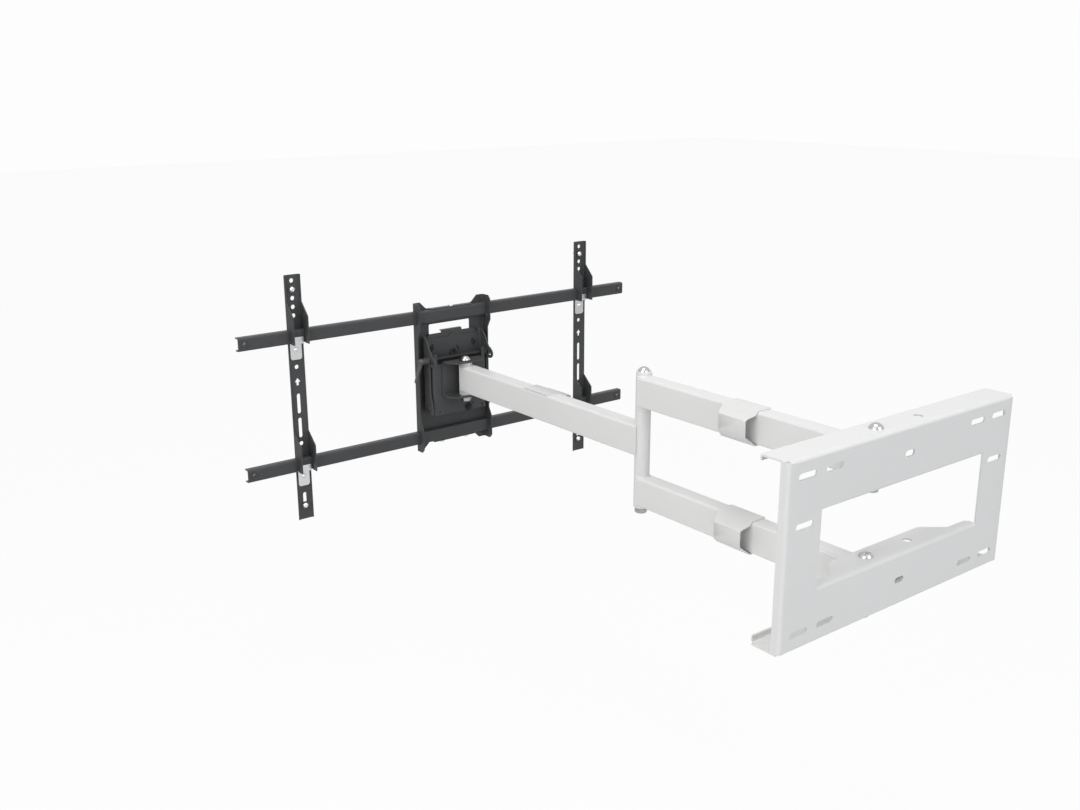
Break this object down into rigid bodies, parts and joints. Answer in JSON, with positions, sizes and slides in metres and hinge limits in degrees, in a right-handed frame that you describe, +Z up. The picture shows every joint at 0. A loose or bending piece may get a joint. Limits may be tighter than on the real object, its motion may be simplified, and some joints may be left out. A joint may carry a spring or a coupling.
{
  "type": "wall arm for a screen",
  "caption": "Folding wall arm for a flat screen: wall plate, double first arm, forearm, swivel and tilt head, cross rails and hook-on brackets.",
  "frame": {"origin": "centre of the pattern of outer stud slots, in the plane of the wall plate back face", "axes": "+X along the wall, +Y out into the room along the straight arms, +Z up"},
  "size_m": [0.87, 1.0245, 0.452],
  "materials": {
    "white_coat": "smooth white powder coat",
    "black_coat": "satin black powder coat",
    "nickel": "bright nickel plate",
    "zinc": "clear zinc plate",
    "white_plastic": "moulded white plastic"
  },
  "bodies": {
    "wall_mount": {"wall_plate": "white_coat", "wall_pivot_bolts": "nickel", "wall_pivot_nuts": "nickel"},
    "arm_pair": {"upper_arm_tube": "white_coat", "lower_arm_tube": "white_coat", "wall_bushings": "white_plastic", "upper_cable_clip": "white_plastic", "lower_cable_clip": "white_plastic", "elbow_bolt": "nickel", "elbow_nut": "nickel"},
    "forearm_body": {"forearm": "white_coat", "elbow_bushings": "white_plastic", "head_bushings": "white_plastic", "forearm_cable_clip": "white_plastic"},
    "swivel_head": {"pivot_fork": "black_coat", "head_pivot_bolt": "nickel", "head_pivot_nut": "nickel", "swivel_bracket": "black_coat", "swivel_stop_screw": "black_coat", "tilt_pivot_bolt": "black_coat", "tilt_pivot_nut": "black_coat", "tilt_clamp_bolt": "black_coat", "tilt_clamp_nut": "black_coat", "tilt_washers": "black_coat"},
    "clamp_lever": {"tilt_lever": "black_coat"},
    "tilt_frame": {"tilt_bracket": "black_coat"},
    "screen_frame": {"level_plate": "black_coat", "level_spacer": "black_coat", "level_rivet_tube": "black_coat", "level_screws": "black_coat", "interface_plate": "black_coat", "upper_rail": "black_coat", "lower_rail": "black_coat", "rail_screws": "zinc", "rail_stop_screws": "black_coat", "rail_stop_washers": "black_coat"},
    "left_bracket": {"left_tv_bracket": "black_coat", "left_tv_screws": "zinc", "left_tv_washers": "black_coat"},
    "left_upper_lock": {"left_upper_lock_clip": "zinc", "left_upper_lock_screw": "zinc", "left_upper_lock_nut": "zinc"},
    "left_lower_lock": {"left_lower_lock_clip": "zinc", "left_lower_lock_screw": "zinc", "left_lower_lock_nut": "zinc"},
    "right_bracket": {"right_tv_bracket": "black_coat", "right_tv_screws": "zinc", "right_tv_washers": "black_coat"},
    "right_upper_lock": {"right_upper_lock_clip": "zinc", "right_upper_lock_screw": "zinc", "right_upper_lock_nut": "zinc"},
    "right_lower_lock": {"right_lower_lock_clip": "zinc", "right_lower_lock_screw": "zinc", "right_lower_lock_nut": "zinc"}
  },
  "joints": [
    {"name": "arm_swing", "type": "hinge", "parent": "wall_mount", "child": "arm_pair", "pos_m": [-0.045, 0.023, 0], "axis": [0, 0, 1], "range_deg": [-88, 80]},
    {"name": "elbow_fold", "type": "hinge", "parent": "arm_pair", "child": "forearm_body", "pos_m": [-0.045, 0.457, 0], "axis": [0, 0, -1], "range_deg": [-150, 136]},
    {"name": "head_swivel", "type": "hinge", "parent": "forearm_body", "child": "swivel_head", "pos_m": [-0.045, 0.955, 0.002], "axis": [0, 0, 1], "range_deg": [-90, 90]},
    {"name": "lever_turn", "type": "hinge", "parent": "swivel_head", "child": "clamp_lever", "pos_m": [-0.045, 0.983, 0.039], "axis": [1, 0, 0], "range_deg": [-110, 0]},
    {"name": "tilt", "type": "hinge", "parent": "swivel_head", "child": "tilt_frame", "pos_m": [-0.045, 0.983, -0.056], "axis": [-1, 0, 0], "range_deg": [-2, 10]},
    {"name": "level", "type": "hinge", "parent": "tilt_frame", "child": "screen_frame", "pos_m": [-0.045, 0.9975, 0.044], "axis": [0, 1, 0], "range_deg": [-3, 3]},
    {"name": "left_bracket_slide", "type": "slide", "parent": "screen_frame", "child": "left_bracket", "axis": [1, 0, 0], "range_m": [-0.0758, 0.2242]},
    {"name": "right_bracket_slide", "type": "slide", "parent": "screen_frame", "child": "right_bracket", "axis": [1, 0, 0], "range_m": [-0.2242, 0.0758]},
    {"name": "left_upper_lock_slide", "type": "slide", "parent": "left_bracket", "child": "left_upper_lock", "axis": [0, 0, -1], "range_m": [0, 0.012]},
    {"name": "left_lower_lock_slide", "type": "slide", "parent": "left_bracket", "child": "left_lower_lock", "axis": [0, 0, -1], "range_m": [0, 0.012]},
    {"name": "right_upper_lock_slide", "type": "slide", "parent": "right_bracket", "child": "right_upper_lock", "axis": [0, 0, -1], "range_m": [0, 0.012]},
    {"name": "right_lower_lock_slide", "type": "slide", "parent": "right_bracket", "child": "right_lower_lock", "axis": [0, 0, -1], "range_m": [0, 0.012]}
  ]
}
